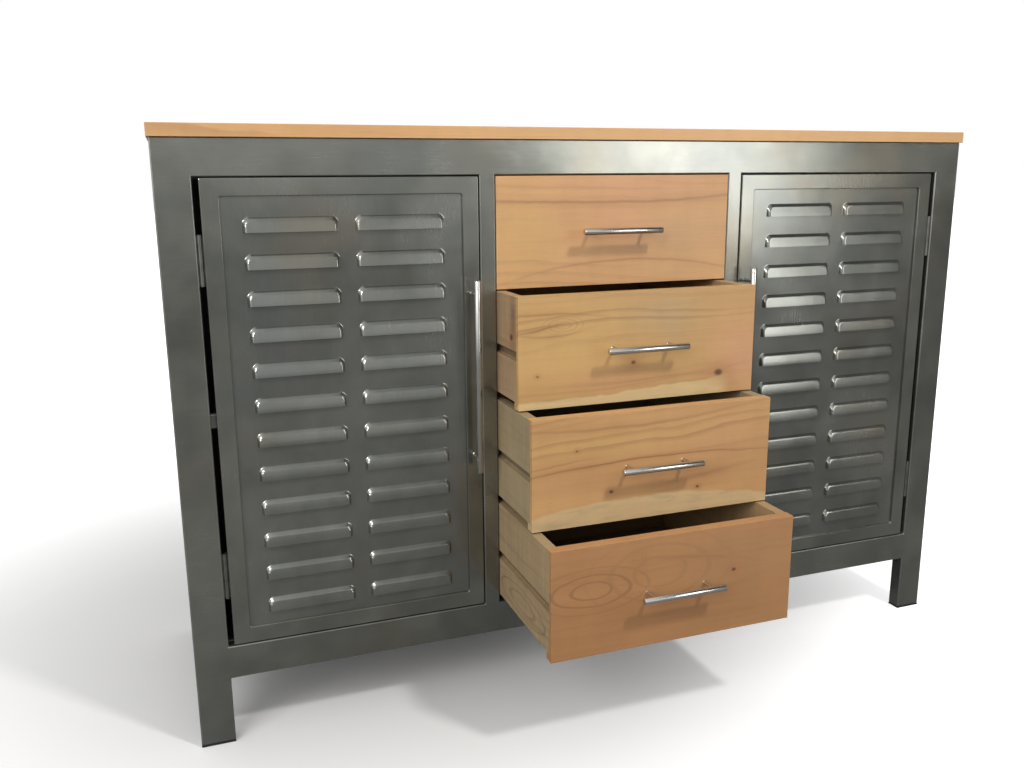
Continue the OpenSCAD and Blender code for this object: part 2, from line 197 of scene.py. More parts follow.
# Brushed or turned bright metal; grain gives how fine the brush lines are on each axis
def brightFinish(name, colour, grain, rough, wear):
    material, shader, place = startFinish(name)
    lines = noise(stretch(place, grain), 1, 3, 0.7)
    smudge = noise(place, 38, 3, 0.6)
    dull = mixColour(ease(smudge, 0.42, 0.72) * wear, colour, [c * 0.62 for c in colour[:3]] + [1])
    tint = shaded(dull, ease(lines, 0.25, 0.75, 0.95, 1.04))
    plug(shader, {
        "Base Color": tint, "Metallic": 1.0,
        "Roughness": rough + (lines - 0.5) * 0.04 + (smudge - 0.5) * 0.06,
        "Normal": bump(lines, 0.000002)})
    return material


stainlessAcross = brightFinish("stainlessAcross", (0.66, 0.64, 0.60, 1), (30, 900, 900), 0.25, 0.12)
# the same stainless as the drawer handles, painted darker (painted shade) to dim the window lamp's reflection
# on the door handles
shadedStainlessUp = brightFinish("shadedStainlessUp", (0.50, 0.49, 0.46, 1), (900, 900, 30), 0.25, 0.12)
hingeMetal = brightFinish("hingeMetal", (0.17, 0.17, 0.155, 1), (900, 900, 260), 0.48, 0.7)
zincScrew = brightFinish("zincScrew", (0.62, 0.60, 0.52, 1), (700, 700, 700), 0.34, 0.7)


def plasticFinish(name, colour):
    material, shader, place = startFinish(name)
    scuff = noise(place, 60, 4, 0.6)
    grain = noise(place, 900, 2, 0.5)
    dusty = mixColour(ease(scuff, 0.5, 0.8) * 0.5, colour, (0.10, 0.10, 0.095, 1))
    plug(shader, {"Base Color": dusty, "Roughness": 0.42 + (scuff - 0.4) * 0.3,
                  "Normal": bump(grain * 0.5 + scuff, 0.00008)})
    return material


blackPlastic = plasticFinish("blackPlastic", (0.012, 0.012, 0.013, 1))


# Oiled solid timber. All its lines are heights on one warped board, so faces and ends agree.
# The board runs along X or Y, standing or flat; spots, veins and knots are placed along and across it.
def timberFinish(name, look):
    material, shader, place = startFinish(name)
    toned = look.get("toned")
    tone = place.add("ShaderNodeAttribute", {"attribute_name": "tone"}, out=2) if toned else None
    centred = stretch(place, (1, 1, 1), tuple(-c for c in look["middle"]))
    axes = [centred.add("ShaderNodeSeparateXYZ", None, {0: centred}, out=i) for i in range(3)]
    order = {"x": (0, 2, 1), "y": (1, 2, 0), "flat": (0, 1, 2)}[look["run"]]
    along, across, through = [axes[i] for i in order]

    def grain(scale, detail, rough, shift=(0, 0, 0)):
        return noise(stretch(wood, scale, shift), 1, detail, rough)

    def spotAt(u, v, wide, high):
        # squared distance from a spot on the board, 1 at the rim of its oval
        return ((along - u) / wide).squared() + ((across - v) / high).squared()

    sheet = place.add("ShaderNodeCombineXYZ", None, {
        0: along + tone * 3.7 if toned else along, 1: across + tone * 1.9 if toned else across, 2: through})
    wood = stretch(sheet, (1, 1, 1), look["seed"])
    drift = grain((2.6, 8, 8), 2, 0.45) - 0.5
    shiver = grain((24, 36, 36), 2, 0.5) - 0.5
    level = across + through * look["cup"] + shiver * 0.005
    height = level + along * look["tilt"] + drift * look["bend"]
    if toned:
        height = height + tone * 1.9
    level = level + drift * 0.012

    knotCore = knotHalo = along * 0
    for u, v, size in look.get("knots", ()):
        far = spotAt(u, v, size * 1.4, size) + shiver * 0.9
        knotCore = knotCore.most(soft(far))
        knotHalo = knotHalo.most(soft(far, 0.09))
        height = height + soft(far, 0.09) * size
    vein = glow = along * 0
    for line in look.get("veins", ()):
        away = along - line["at"][0]
        path = away * line["slope"] + away.squared() * line["arch"] + line["at"][1]
        far = ((level - path) / line["wide"]).squared()
        much = soft((away / line["reach"]).squared()) * line["dark"]
        vein = vein.most(soft(far) * much)
        glow = glow.most(soft(far, 0.04) * much)
    for u, v, wide, high, dark in look.get("ovals", ()):
        far = spotAt(u, v, wide, high)
        far = far.maths("SQRT", far) + shiver * 0.28 + drift * 0.5
        wave = (far - 1) * 7.4
        rings = ease(wave.maths("COSINE", wave), 0.6, 1.0)
        rings = rings * ease(far, 0.35, 0.8) * ease(far, 2.1, 3.3, 1.0, 0.0)
        vein = vein.most(rings * dark)

    count = height * look["rings"]
    ring = count.maths("FRACT", count)
    chance = count.add("ShaderNodeTexWhiteNoise", {"noise_dimensions": "1D"},
                       {"W": count.maths("FLOOR", count)})
    fade = ease(grain((3.5, 11, 11), 2, 0.5, (5, 2, 1)), 0.36, 0.62)
    late = ease(ring, 0.35, 0.92) * ease(ring, 0.94, 1.0, 1.0, 0.0) * chance * chance * fade
    broad = grain((1.8, 10, 10), 2, 0.5, (2, 7, 3))
    streak = grain((3.5, 120, 120), 2, 0.55)
    fibre = grain((16, 700, 700), 2, 0.5)
    curl = grain((30, 12, 12), 2, 0.5, (1, 4, 9))
    pore = ease(grain((60, 1400, 1400), 1, 0.5, (3, 3, 3)), 0.62, 0.74)
    colour = mixColour(ease(broad, 0.3, 0.7), look["light"], look["deep"])
    if toned:
        colour = mixColour(tone, colour, look["second"])
    for u, v, wide, high, much, tint in look.get("patches", ()):
        colour = mixColour(soft(spotAt(u, v, wide, high) + drift * 1.6) * much, colour, tint)
    colour = mixColour(ease(streak, 0.3, 0.75) * 0.3, colour, look["deep"])
    colour = mixColour(late * look["lines"], colour, look["line"])
    colour = mixColour(glow * 0.42, colour, look["red"])
    colour = mixColour(vein * ease(streak, 0.2, 0.6, 0.6, 1.0), colour, look["line"])
    if "sap" in look:
        sap = look["sap"]
        away = along - sap["from"]
        edge = level + shiver * 0.01 - away * sap["slope"] - away.squared() * sap["arch"] - sap["edge"]
        pale = ease(edge, -sap["soft"], sap["soft"], 1.0, 0.0) * ease(along, *sap["stop"], 1.0, 0.0)
        fleck = ease(grain((16, 60, 60), 3, 0.6, (6, 1, 2)), 0.48, 0.68)
        colour = mixColour(pale * 0.92, colour, mixColour(fleck * sap["much"], sap["colour"], sap["fleck"]))
    colour = mixColour(knotHalo * 0.45, colour, look["red"])
    colour = mixColour(ease(knotCore, 0.1, 0.85) * 0.85, colour, look["knot"])
    shade = ease(streak, 0.2, 0.8, 0.95, 1.045) * ease(fibre, 0.2, 0.8, 0.97, 1.025)
    shade = shade * ease(curl, 0.3, 0.7, 0.975, 1.02) * (1 - pore * look["pores"])
    relief = fibre * 0.3 + streak * 0.4 - pore * 0.5 - vein * 0.3
    if "saw" in look:  # marks of the saw across the grain
        teeth = grain((look["saw"], 9, 9), 2, 0.6)
        relief = relief + teeth * 1.6
        shade = shade * ease(teeth, 0.3, 0.7, 0.93, 1.05)
    if "groove" in look:  # painted shade in the runner grooves and down inside the box
        low, high, outer, rim = look["groove"]
        side = axes[0].maths("ABSOLUTE", axes[0])
        paintedGrooveShade = ease(side, outer - 4 * mm, outer - 1 * mm, 1.0, 0.0)
        paintedGrooveShade = paintedGrooveShade * ease(side, outer - 13 * mm, outer - 10 * mm)
        paintedGrooveShade = paintedGrooveShade * ease(across, low, low + 1 * mm) * ease(across, high - 1 * mm, high, 1.0, 0.0)
        paintedBoxShade = ease(side, outer - 16.5 * mm, outer - 15.5 * mm, 1.0, 0.0)
        paintedBoxShade = paintedBoxShade * ease(across, rim - 60 * mm, rim - 4 * mm, 1.0, 0.0)
        # painted shade: the grooves and the inner faces of the box are made darker
        shade = shade * (1 - paintedGrooveShade * 0.55) * (1 - paintedBoxShade * 0.5)
    grime = noise(place, 7, 2, 0.6)
    plug(shader, {
        "Base Color": shaded(colour, shade), "Coat Weight": look["coat"], "Coat Roughness": 0.28,
        "Roughness": look["rough"] + (streak - 0.5) * 0.1 + (grime - 0.5) * 0.12 + pore * 0.08,
        "Normal": bump(relief, look["relief"])})
    return material


def meshFrom(work, name):
    mesh = bpy.data.meshes.new(name)
    work.to_mesh(mesh)
    work.free()
    return mesh


def outward(work):
    bmesh.ops.recalc_face_normals(work, faces=work.faces[:])


def smoothAll(mesh, angle=None):
    # smooth faces, parted where they meet at more than the angle
    mesh.polygons.foreach_set("use_smooth", [True] * len(mesh.polygons))
    if angle:
        mesh.set_sharp_from_angle(angle=math.radians(angle))


def inScene(name, mesh):
    made = bpy.data.objects.new(name, mesh)
    scene.collection.objects.link(made)
    return made


def pieceFrom(work, name, finishes, angle=38):
    mesh = meshFrom(work, name)
    for finish in finishes:
        mesh.materials.append(finish)
    smoothAll(mesh, angle)
    return inScene(name, mesh)


def roundEdges(piece, width, segments=3, edgeSlot=0):
    cut = piece.modifiers.new("rounding", "BEVEL")
    cut.width = width
    cut.segments = segments
    cut.limit_method = "ANGLE"
    cut.angle_limit = math.radians(40)
    cut.harden_normals = True
    cut.material = edgeSlot
    return piece


def addBlock(work, low, high):
    corners = [work.verts.new((x, y, z)) for x in (low[0], high[0]) for y in (low[1], high[1])
               for z in (low[2], high[2])]
    for face in ((0, 1, 3, 2), (4, 6, 7, 5), (0, 4, 5, 1), (2, 3, 7, 6), (0, 2, 6, 4), (1, 5, 7, 3)):
        work.faces.new([corners[i] for i in face])


def addProfile(work, points, start, end):
    # a closed outline of (x, z) swept straight from start to end along Y
    rings = [[work.verts.new((x, y, z)) for x, z in points] for y in (start, end)]
    work.faces.new(rings[0])
    work.faces.new(rings[1][::-1])
    for i in range(len(points)):
        j = (i + 1) % len(points)
        work.faces.new((rings[0][j], rings[0][i], rings[1][i], rings[1][j]))


def addTurned(work, outline, centre, axis, sides=32):
    # a closed solid of revolution: outline is (distance along the axis, radius), ends at radius 0
    unit = {"x": Vector((1, 0, 0)), "y": Vector((0, 1, 0)), "z": Vector((0, 0, 1))}[axis]
    side = {"x": Vector((0, 1, 0)), "y": Vector((0, 0, 1)), "z": Vector((1, 0, 0))}[axis]
    other = unit.cross(side)
    rings = []
    for far, radius in outline:
        middle = Vector(centre) + unit * far
        if radius == 0:
            rings.append([work.verts.new(middle)])
            continue
        turns = [2 * math.pi * i / sides for i in range(sides)]
        outs = [side * math.cos(a) + other * math.sin(a) for a in turns]
        rings.append([work.verts.new(middle + out * radius) for out in outs])
    for first, second in zip(rings, rings[1:]):
        for i in range(sides):
            j = (i + 1) % sides
            if len(first) == 1:
                work.faces.new((first[0], second[i], second[j]))
            elif len(second) == 1:
                work.faces.new((first[i], second[0], first[j]))
            else:
                work.faces.new((first[i], second[i], second[j], first[j]))


def setTone(piece, tones):
    # one value for each board, spread over that board's corners
    layer = piece.data.attributes.new("tone", "FLOAT", "POINT")
    layer.data.foreach_set("value", tones)


# The welded frame is one closed skin round all its tubes
frameLook = {"rounding": 2.0 * mm, "segments": 3}
frameTubes = [
    "front_left_leg", "front_right_leg", "rear_left_leg", "rear_right_leg", "front_top_rail",
    "front_bottom_rail", "rear_top_rail", "rear_bottom_rail", "left_mullion", "right_mullion"]


def frameBlocks():
    blocks = [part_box(name) for name in frameTubes]
    low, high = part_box("left_mullion")
    rearLow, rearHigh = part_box("rear_top_rail")
    for sign in (-1, 1):  # the two rear uprights stand behind the mullions
        x0, x1 = sorted((sign * low.x, sign * high.x))
        blocks.append((Vector((x0, rearLow.y, low.z)), Vector((x1, rearHigh.y, high.z))))
    legLow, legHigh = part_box("front_left_leg")
    sideLow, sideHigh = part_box("side_rails")
    depth = legHigh.y - legLow.y
    for sign in (-1, 1):
        x0, x1 = sorted((sign * sideLow.x, sign * (sideLow.x + depth)))
        for rail in ("front_top_rail", "front_bottom_rail"):
            railLow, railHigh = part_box(rail)
            blocks.append((Vector((x0, sideLow.y, railLow.z)), Vector((x1, sideHigh.y, railHigh.z))))
    return blocks


def skinOf(blocks):
    # the outer faces of a union of blocks, on the grid of all their sides
    lines = [sorted({round(c[axis], 6) for block in blocks for c in block}) for axis in range(3)]
    filled = set()
    for low, high in blocks:
        spans = [[i for i, at in enumerate(lines[a][:-1]) if low[a] - 1e-6 <= at < high[a] - 1e-6]
                 for a in range(3)]
        filled.update((i, j, k) for i in spans[0] for j in spans[1] for k in spans[2])
    work = bmesh.new()
    made = {}

    def corner(key):
        if key not in made:
            made[key] = work.verts.new([lines[a][key[a]] for a in range(3)])
        return made[key]

    for cell in filled:
        for axis in range(3):
            for step in (0, 1):
                beside = list(cell)
                beside[axis] += 2 * step - 1
                if tuple(beside) in filled:
                    continue
                a, b = (axis + 1) % 3, (axis + 2) % 3
                loop = []
                for da, db in ((0, 0), (1, 0), (1, 1), (0, 1)):
                    key = list(cell)
                    key[axis] += step
                    key[a] += da
                    key[b] += db
                    loop.append(corner(tuple(key)))
                work.faces.new(loop if step else loop[::-1])
    return work


weldedFrame = pieceFrom(skinOf(frameBlocks()), "weldedFrame", [frameSteel, edgeWearAndHighlightSteel])
# the rounded edges take the second, lighter finish: wear and a painted highlight
roundEdges(weldedFrame, frameLook["rounding"], frameLook["segments"], 1)
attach(weldedFrame, "carcass")
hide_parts(*frameTubes, "rear_uprights", "side_rails")
print("welded frame made")


# Geometry node trees
def startTree(name, sockets):
    tree = bpy.data.node_groups.new(name, "GeometryNodeTree")
    tree.interface.new_socket("Geometry", in_out="INPUT", socket_type="NodeSocketGeometry")
    for label, kind, value in sockets:
        made = tree.interface.new_socket(label, in_out="INPUT", socket_type="NodeSocket" + kind)
        if value is not None:
            made.default_value = value
    tree.interface.new_socket("Geometry", in_out="OUTPUT", socket_type="NodeSocketGeometry")
    inputs = tree.nodes.new("NodeGroupInput")
    return tree, {s.name: Wire(tree, s) for s in inputs.outputs if s.name}


def endTree(shape, finish, merge=None):
    flat = shape.add("GeometryNodeRealizeInstances", None, {0: shape})
    if merge is not None:
        flat = flat.add("GeometryNodeMergeByDistance", None, {"Geometry": flat, "Distance": merge})
    dressed = flat.add("GeometryNodeSetMaterial", None, {"Geometry": flat, "Material": finish})
    shape.add("NodeGroupOutput", None, {0: dressed})


def runTree(host, tree, values):
    # sets the named inputs, then keeps the evaluated result as a plain mesh
    step = host.modifiers.new("pattern", "NODES")
    step.node_group = tree
    names = {s.name: s.identifier for s in tree.interface.items_tree if s.in_out == "INPUT"}
    for label, value in values.items():
        step[names[label]] = value
    old = host.data
    host.data = evaluated(host)
    bpy.data.meshes.remove(old)


def evaluated(piece):
    # the mesh with every modifier carried out; the modifiers are then removed
    bpy.context.view_layer.update()
    ready = piece.evaluated_get(bpy.context.evaluated_depsgraph_get())
    mesh = bpy.data.meshes.new_from_object(ready)
    piece.modifiers.clear()
    return mesh


def hiddenPattern(work, name):
    # a shape that only the trees use; it is never put in the scene
    outward(work)
    mesh = meshFrom(work, name)
    smoothAll(mesh)
    return bpy.data.objects.new(name, mesh)


def pointHost(name, spots, facings):
    mesh = bpy.data.meshes.new(name)
    mesh.from_pydata([tuple(s) for s in spots], [], [])
    layer = mesh.attributes.new("facing", "FLOAT_VECTOR", "POINT")
    layer.data.foreach_set("vector", [c for facing in facings for c in facing])
    return inScene(name, mesh)


def scatterTree(name, finish):
    # one copy of the pattern on each point, its Z axis turned to the point's facing
    tree, given = startTree(name, [
        ("Pattern", "Object", None), ("Size", "Float", 1.0), ("Spread", "Float", 0.0),
        ("Turn", "Float", 0.0), ("Seed", "Int", 3)])
    start = given["Geometry"]
    pattern = start.add("GeometryNodeObjectInfo", None, {"Object": given["Pattern"]}, out="Geometry")
    facing = start.add("GeometryNodeInputNamedAttribute", {"data_type": "FLOAT_VECTOR"}, {"Name": "facing"})
    turn = start.add("FunctionNodeAlignRotationToVector", {"axis": "Z"}, {"Vector": facing})
    spin = start.add("FunctionNodeRandomValue", {"data_type": "FLOAT"},
                     {2: given["Turn"] * -1, 3: given["Turn"], "Seed": given["Seed"]}, out=1)
    euler = start.add("ShaderNodeCombineXYZ", None, {2: spin})
    turned = start.add("FunctionNodeRotateRotation", {"rotation_space": "LOCAL"}, {0: turn, 1: euler})
    size = start.add("FunctionNodeRandomValue", {"data_type": "FLOAT"},
                     {2: given["Size"] * (1 - given["Spread"]), 3: given["Size"] * (1 + given["Spread"]),
                      "Seed": given["Seed"] + 5}, out=1)
    placed = start.add("GeometryNodeInstanceOnPoints", None, {
        "Points": start, "Instance": pattern, "Rotation": turned, "Scale": size})
    endTree(placed, finish)
    return tree


def scatter(name, spots, facings, pattern, tree, spread=0.0):
    host = pointHost(name, spots, facings)
    runTree(host, tree, {"Pattern": pattern, "Size": 1.0, "Spread": spread, "Turn": 3.0, "Seed": 3})
    smoothAll(host.data, 40)
    return host


doorLook = {
    "outerRound": 2 * mm, "innerRound": 4 * mm, "cornerSteps": 6, "border": 25 * mm,
    "faceRound": 1.6 * mm, "lipRound": 1.1 * mm, "backRound": 1.5 * mm, "roundSteps": 4,
}
louvreLook = {
    "wide": 132.03 * mm, "high": 21 * mm, "lipOut": 6.5 * mm, "topOut": 3.4 * mm, "sideWall": 4.5 * mm,
    "topWall": 6.0 * mm, "cornerWall": 6.8 * mm, "corner": 9.5 * mm,
    "columnPitch": 157.03 * mm, "rowPitch": 51.5 * mm, "columns": 2, "rows": 12,
    "first": {"left": 20.5 * mm, "right": 25.5 * mm},
    "below": 15 * mm, "sheet": 1.2 * mm, "recess": 4 * mm, "seat": 0.1 * mm,
}


def roundCorners(points, radii, steps):
    # rounds the corners of a closed outline; each corner has its own radius
    made = []
    for i, point in enumerate(points):
        point = Vector(point)
        before = (Vector(points[i - 1]) - point).normalized()
        after = (Vector(points[(i + 1) % len(points)]) - point).normalized()
        radius = radii[i]
        centre = point + (before + after) * radius
        for k in range(steps + 1):
            a = math.pi / 2 * k / steps
            made.append(centre - after * radius * math.cos(a) - before * radius * math.sin(a))
    return made


def borderWork(low, high, look):
    depth = high.y - low.y
    band = look["border"]
    outline = roundCorners(
        [(0, 0), (band, 0), (band, depth), (0, depth)],
        [look["faceRound"], look["lipRound"], look["backRound"], look["backRound"]], look["roundSteps"])
    work = bmesh.new()
    loops = []
    for inset, back in outline:
        share = inset / band
        radius = look["outerRound"] * (1 - share) + look["innerRound"] * share
        corners = [(low.x + inset, low.z + inset), (high.x - inset, low.z + inset),
                   (high.x - inset, high.z - inset), (low.x + inset, high.z - inset)]
        path = roundCorners(corners, [radius] * 4, look["cornerSteps"])
        loops.append([work.verts.new((p.x, low.y + back, p.y)) for p in path])
    for i, loop in enumerate(loops):
        following = loops[(i + 1) % len(loops)]
        for k in range(len(loop)):
            j = (k + 1) % len(loop)
            work.faces.new((loop[k], loop[j], following[j], following[k]))
    bmesh.ops.remove_doubles(work, verts=work.verts[:], dist=0.005 * mm)
    outward(work)
    return work


def louvreHeight(x, z, look):
    # how far the pressed sheet stands out, from the middle of the lip
    dx, dz = look["wide"] / 2 - abs(x), look["high"] - z
    corner = look["corner"]
    far = min(dx, dz)
    if dx < corner and dz < corner:
        far = corner - math.hypot(corner - dx, corner - dz)
    if far <= 0 or z < 0:
        return 0.0
    turn = min(1.0, max(0.0, dx / max(dx + dz, 1e-6)))  # 0 beside an end wall, 1 under the top wall
    wall = look["sideWall"] * (1 - turn) + look["topWall"] * turn
    if dx < corner and dz < corner:  # the rounded corner rises more gently
        wall += (look["cornerWall"] - wall) * 4 * turn * (1 - turn)
    rise = min(1.0, far / wall)
    rise = math.sin(rise * math.pi / 2) ** 0.9  # creased at the sheet, rounded over at the top
    share = z / look["high"]
    return rise * (look["lipOut"] + (look["topOut"] - look["lipOut"]) * share ** 1.3)


def louvreLines(look):
    half, pitch = look["wide"] / 2, look["columnPitch"] / 2
    side = [0, 22 * mm, 44 * mm, half - 11 * mm] + [half - k * mm for k in (9, 8, 7, 6, 5, 4, 3, 2, 1, 0)]
    side += [half + 1.5 * mm, pitch]
    xs = sorted({round(s * x, 7) for x in side for s in (-1, 1)})
    zs = [-look["below"], -1.5 * mm, 0] + [z * mm for z in (3, 6, 9, 11)]
    zs += [look["high"] - k * mm for k in (9, 8, 7, 6, 5, 4, 3, 2, 1, 0, -1.5)]
    zs += [look["rowPitch"] - look["below"]]
    return xs, [round(z, 7) for z in zs]


def louvreCell(look):
    # one pressed louvre with the sheet round it; the sheet is cut along the lip
    xs, zs = louvreLines(look)
    work = bmesh.new()
    rows = []
    for z in zs:
        if z == 0:
            under = [work.verts.new((x, 0, 0)) for x in xs]
            over = []
            for x, vert in zip(xs, under):
                out = louvreHeight(x, 1e-9, look)
                over.append(work.verts.new((x, -out, 0)) if out else vert)
            rows.append((under, over))
        else:
            line = [work.verts.new((x, -louvreHeight(x, z, look), z)) for x in xs]
            rows.append((line, line))
    for lower, upper in zip(rows, rows[1:]):
        for i in range(len(xs) - 1):
            work.faces.new((lower[1][i], lower[1][i + 1], upper[0][i + 1], upper[0][i]))
    return bpy.data.objects.new("louvreCell", meshFrom(work, "louvreCell"))


def louvreMargin(name, low, high, look):
    # the plain sheet round the louvres, on the same lines as the cells that join it
    xs, zs = louvreLines(look)
    middle = (low.x + high.x) / 2
    start = low.z + look["first"]
    columns = [round(middle + s * look["columnPitch"] / 2 + x, 7) for s in (-1, 1) for x in xs]
    levels = [round(start + r * look["rowPitch"] + z, 7) for r in range(look["rows"]) for z in zs]
    columns = sorted(set(columns))
    levels = sorted(set(levels))
    allX = [low.x] + columns + [high.x]
    allZ = [low.z] + levels + [high.z]
    work = bmesh.new()
    made = {}

    def corner(i, k):
        if (i, k) not in made:
            made[i, k] = work.verts.new((allX[i], look["front"], allZ[k]))
        return made[i, k]

    for i in range(len(allX) - 1):
        for k in range(len(allZ) - 1):
            if i in (0, len(allX) - 2) or k in (0, len(allZ) - 2):
                work.faces.new((corner(i, k), corner(i + 1, k), corner(i + 1, k + 1), corner(i, k + 1)))
    return inScene(name, meshFrom(work, name))


def louvreTree(finish):
    tree, given = startTree("louvreRows", [
        ("Louvre", "Object", None), ("Columns", "Int", 2), ("Rows", "Int", 12),
        ("Column pitch", "Float", 0.157), ("Row pitch", "Float", 0.0515), ("Lowest lip", "Vector", None),
        ("Weld distance", "Float", 0.00001)])
    start = given["Geometry"]
    cell = start.add("GeometryNodeObjectInfo", None, {"Object": given["Louvre"]}, out="Geometry")
    wide = (given["Columns"] - 1) * given["Column pitch"]
    tall = (given["Rows"] - 1) * given["Row pitch"]
    grid = start.add("GeometryNodeMeshGrid", None, {
        "Size X": wide, "Size Y": tall, "Vertices X": given["Columns"], "Vertices Y": given["Rows"]})
    upright = start.add("GeometryNodeTransform", None, {
        "Geometry": grid, "Rotation": (math.pi / 2, 0, 0), "Translation": given["Lowest lip"]})
    lift = start.add("ShaderNodeCombineXYZ", None, {2: tall / 2})
    raised = start.add("GeometryNodeSetPosition", None, {"Geometry": upright, "Offset": lift})
    placed = start.add("GeometryNodeInstanceOnPoints", None, {"Points": raised, "Instance": cell})
    flat = start.add("GeometryNodeRealizeInstances", None, {0: placed})
    whole = start.tree.nodes.new("GeometryNodeJoinGeometry")
    for wire in (start, flat):
        tree.links.new(wire.socket, whole.inputs[0])
    endTree(Wire(tree, whole.outputs[0]), finish, given["Weld distance"])
    return tree


rowsTree = louvreTree(louvreSteel)
cellShape = louvreCell(louvreLook)


def makeDoor(side):
    body = side + "_door"
    low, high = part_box(body + "_frame")
    border = pieceFrom(borderWork(low, high, doorLook), side + "DoorBorder", [doorSteel], 50)
    flat = border.modifiers.new("flatFaces", "WEIGHTED_NORMAL")
    flat.keep_sharp = True
    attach(border, body)
    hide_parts(body + "_frame")

    inner = doorLook["border"] + louvreLook["seat"]
    sheetLow = Vector((low.x + inner, 0, low.z + inner))
    sheetHigh = Vector((high.x - inner, 0, high.z - inner))
    first = louvreLook["first"][side]
    look = {**louvreLook, "front": low.y + louvreLook["recess"], "first": first - louvreLook["seat"]}
    sheet = louvreMargin(side + "LouvredSheet", sheetLow, sheetHigh, look)
    runTree(sheet, rowsTree, {
        "Louvre": cellShape, "Columns": look["columns"], "Rows": look["rows"],
        "Column pitch": look["columnPitch"], "Row pitch": look["rowPitch"], "Weld distance": 0.01 * mm,
        "Lowest lip": ((low.x + high.x) / 2, look["front"], low.z + doorLook["border"] + first)})
    thick = sheet.modifiers.new("sheetThickness", "SOLIDIFY")
    thick.thickness = look["sheet"]
    thick.offset = -1
    sheet.data = evaluated(sheet)
    smoothAll(sheet.data, 32)
    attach(sheet, body)
    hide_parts(body + "_panel")
    print(side, "door made:", len(sheet.data.polygons), "faces in the sheet")


for side in ("left", "right"):
    makeDoor(side)


barLook = {"thick": 10 * mm, "post": 6 * mm, "chamfer": 0.9 * mm, "collar": 0.35 * mm, "sides": 40,
           "doorGap": 256 * mm, "drawerGap": 96 * mm}


def barWork(low, high, axis, postGap, look):
    # a chamfered round bar on two posts; low and high are the CAD handle's box
    work = bmesh.new()
    radius, cut = look["thick"] / 2, look["chamfer"]
    barY = low.y + radius
    middle = (low + high) / 2
    line = "xyz".index(axis)
    half = (high[line] - low[line]) / 2
    rim = [(half - cut, radius), (half - cut * 0.35, radius - cut * 0.35), (half, radius - cut), (half, 0)]
    outline = [(-far, out) for far, out in rim[::-1]] + [(0, radius)] + rim
    addTurned(work, outline, (middle.x, barY, middle.z), axis, look["sides"])
    post = look["post"] / 2
    collar = post + look["collar"]
    foot = high.y - barY
    for sign in (-1, 1):
        spot = [middle.x, barY, middle.z]
        spot[line] += sign * postGap / 2
        steps = [(0.3 * mm, 0), (0.3 * mm, post), (foot - 1.2 * mm, post), (foot - 0.9 * mm, collar),
                 (foot - 0.1 * mm, collar), (foot, collar - 0.1 * mm), (foot, 0)]
        addTurned(work, steps, spot, "y", 28)
    outward(work)
    return work


def pieceName(node):
    first, *rest = node.split("_")
    return first + "".join(word.title() for word in rest)


def makeHandle(node, body, axis, postGap, finish):
    low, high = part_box(node)
    handle = pieceFrom(barWork(low, high, axis, postGap, barLook), pieceName(node), [finish], 40)
    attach(handle, body)
    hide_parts(node)


for side in ("left", "right"):
    makeHandle(side + "_door_handle", side + "_door", "z", barLook["doorGap"], shadedStainlessUp)
for number in range(1, 5):
    makeHandle(f"drawer_{number}_handle", f"drawer_{number}", "x", barLook["drawerGap"], stainlessAcross)
print("handles made")


